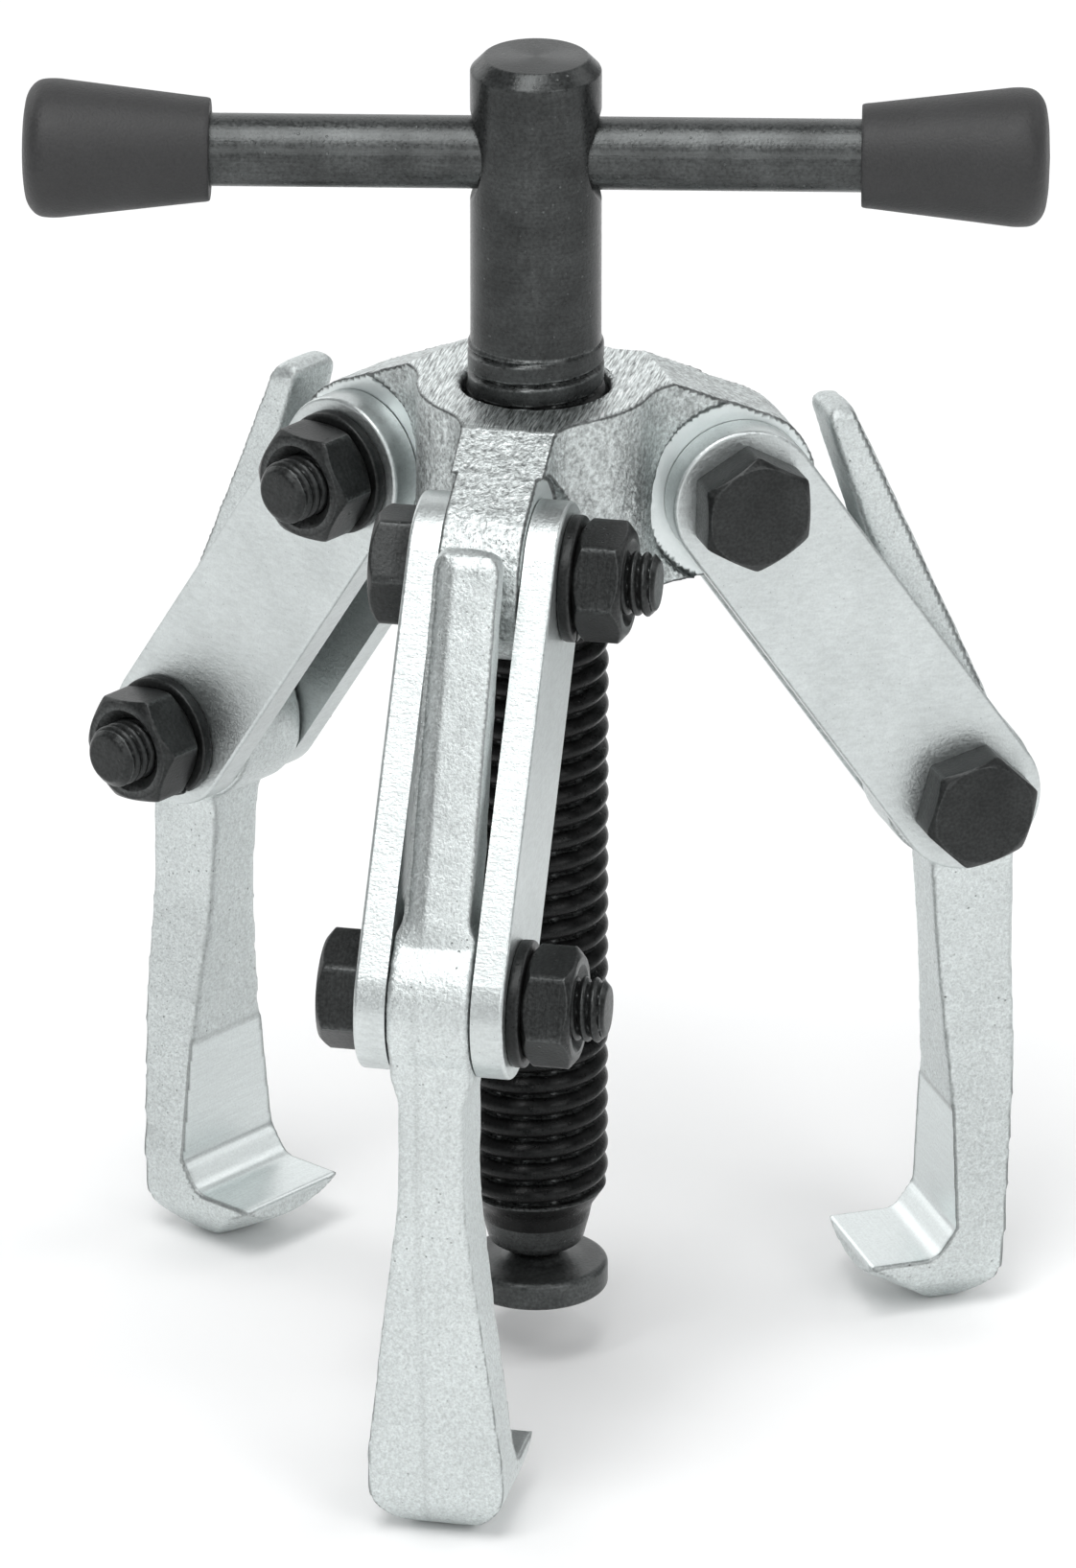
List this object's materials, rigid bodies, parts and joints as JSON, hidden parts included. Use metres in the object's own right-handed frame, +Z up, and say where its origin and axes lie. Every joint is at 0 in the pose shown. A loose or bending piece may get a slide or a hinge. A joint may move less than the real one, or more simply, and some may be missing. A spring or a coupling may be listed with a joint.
{
  "type": "gear puller",
  "caption": "Small screw puller: threaded bridge with linked, hooked bell-crank legs, a pressure spindle with a swivelling pad, and a sliding cross bar with grips.",
  "frame": {"origin": "centre of the flat lower face of the thrust pad at the spindle's end", "axes": "+Z up the spindle, one arm points along -Y, the others are 120 degrees to each side"},
  "size_m": [0.0946, 0.0834, 0.1304],
  "materials": {
    "bridge_zinc": "zinc-plated forging, granular",
    "leg_zinc": "zinc-plated forging, fine grain",
    "link_zinc": "zinc-plated sheet, satin",
    "spindle_black": "black oxide, oiled",
    "pad_black": "black oxide, turned",
    "bar_black": "black oxide, smooth",
    "fastener_black": "black oxide",
    "washer_black": "black oxide spring steel",
    "grip_plastic": "moulded, matte"
  },
  "bodies": {
    "bridge": {"bridge": "bridge_zinc"},
    "pad": {"swivel_pad": "pad_black"},
    "spindle": {"spindle": "spindle_black"},
    "handle": {"tommy_bar": "bar_black", "grip_left": "grip_plastic", "grip_right": "grip_plastic"},
    "arm_front": {"front_link_head_side": "link_zinc", "front_link_nut_side": "link_zinc", "front_upper_bolt": "fastener_black", "front_upper_washer": "washer_black", "front_upper_nut": "fastener_black", "front_lower_bolt": "fastener_black", "front_lower_washer": "washer_black", "front_lower_nut": "fastener_black"},
    "leg_front": {"front_hook_leg": "leg_zinc"},
    "arm_right": {"right_link_head_side": "link_zinc", "right_link_nut_side": "link_zinc", "right_upper_bolt": "fastener_black", "right_upper_washer": "washer_black", "right_upper_nut": "fastener_black", "right_lower_bolt": "fastener_black", "right_lower_washer": "washer_black", "right_lower_nut": "fastener_black"},
    "leg_right": {"right_hook_leg": "leg_zinc"},
    "arm_left": {"left_link_head_side": "link_zinc", "left_link_nut_side": "link_zinc", "left_upper_bolt": "fastener_black", "left_upper_washer": "washer_black", "left_upper_nut": "fastener_black", "left_lower_bolt": "fastener_black", "left_lower_washer": "washer_black", "left_lower_nut": "fastener_black"},
    "leg_left": {"left_hook_leg": "leg_zinc"}
  },
  "joints": [
    {"name": "screw_feed", "type": "slide", "parent": "bridge", "child": "pad", "axis": [0, 0, 1], "range_m": [-0.0042, 0.0607]},
    {"name": "screw_turn", "type": "hinge", "parent": "pad", "child": "spindle", "pos_m": [0, 0, 0], "axis": [0, 0, 1], "range_deg": [-672, 9720]},
    {"name": "bar_slide", "type": "slide", "parent": "spindle", "child": "handle", "axis": [0.9836, 0.1805, 0], "range_m": [-0.023, 0.023]},
    {"name": "arm_front_swing", "type": "hinge", "parent": "bridge", "child": "arm_front", "pos_m": [0, -0.0184, 0.0804], "axis": [-1, 0, 0], "range_deg": [-8, 40]},
    {"name": "leg_front_pivot", "type": "hinge", "parent": "arm_front", "child": "leg_front", "pos_m": [0, -0.0409, 0.0473], "axis": [-1, 0, 0], "range_deg": [-15, 3]},
    {"name": "arm_right_swing", "type": "hinge", "parent": "bridge", "child": "arm_right", "pos_m": [0.01594, 0.0092, 0.0804], "axis": [0.5, -0.866, 0], "range_deg": [-8, 40]},
    {"name": "leg_right_pivot", "type": "hinge", "parent": "arm_right", "child": "leg_right", "pos_m": [0.03542, 0.02045, 0.0473], "axis": [0.5, -0.866, 0], "range_deg": [-15, 3]},
    {"name": "arm_left_swing", "type": "hinge", "parent": "bridge", "child": "arm_left", "pos_m": [-0.01594, 0.0092, 0.0804], "axis": [0.5, 0.866, 0], "range_deg": [-8, 40]},
    {"name": "leg_left_pivot", "type": "hinge", "parent": "arm_left", "child": "leg_left", "pos_m": [-0.03542, 0.02045, 0.0473], "axis": [0.5, 0.866, 0], "range_deg": [-15, 3]}
  ],
  "couplings": [
    {"joint": "screw_turn", "follows": "screw_feed", "rad_per_m": 2792.5}
  ]
}
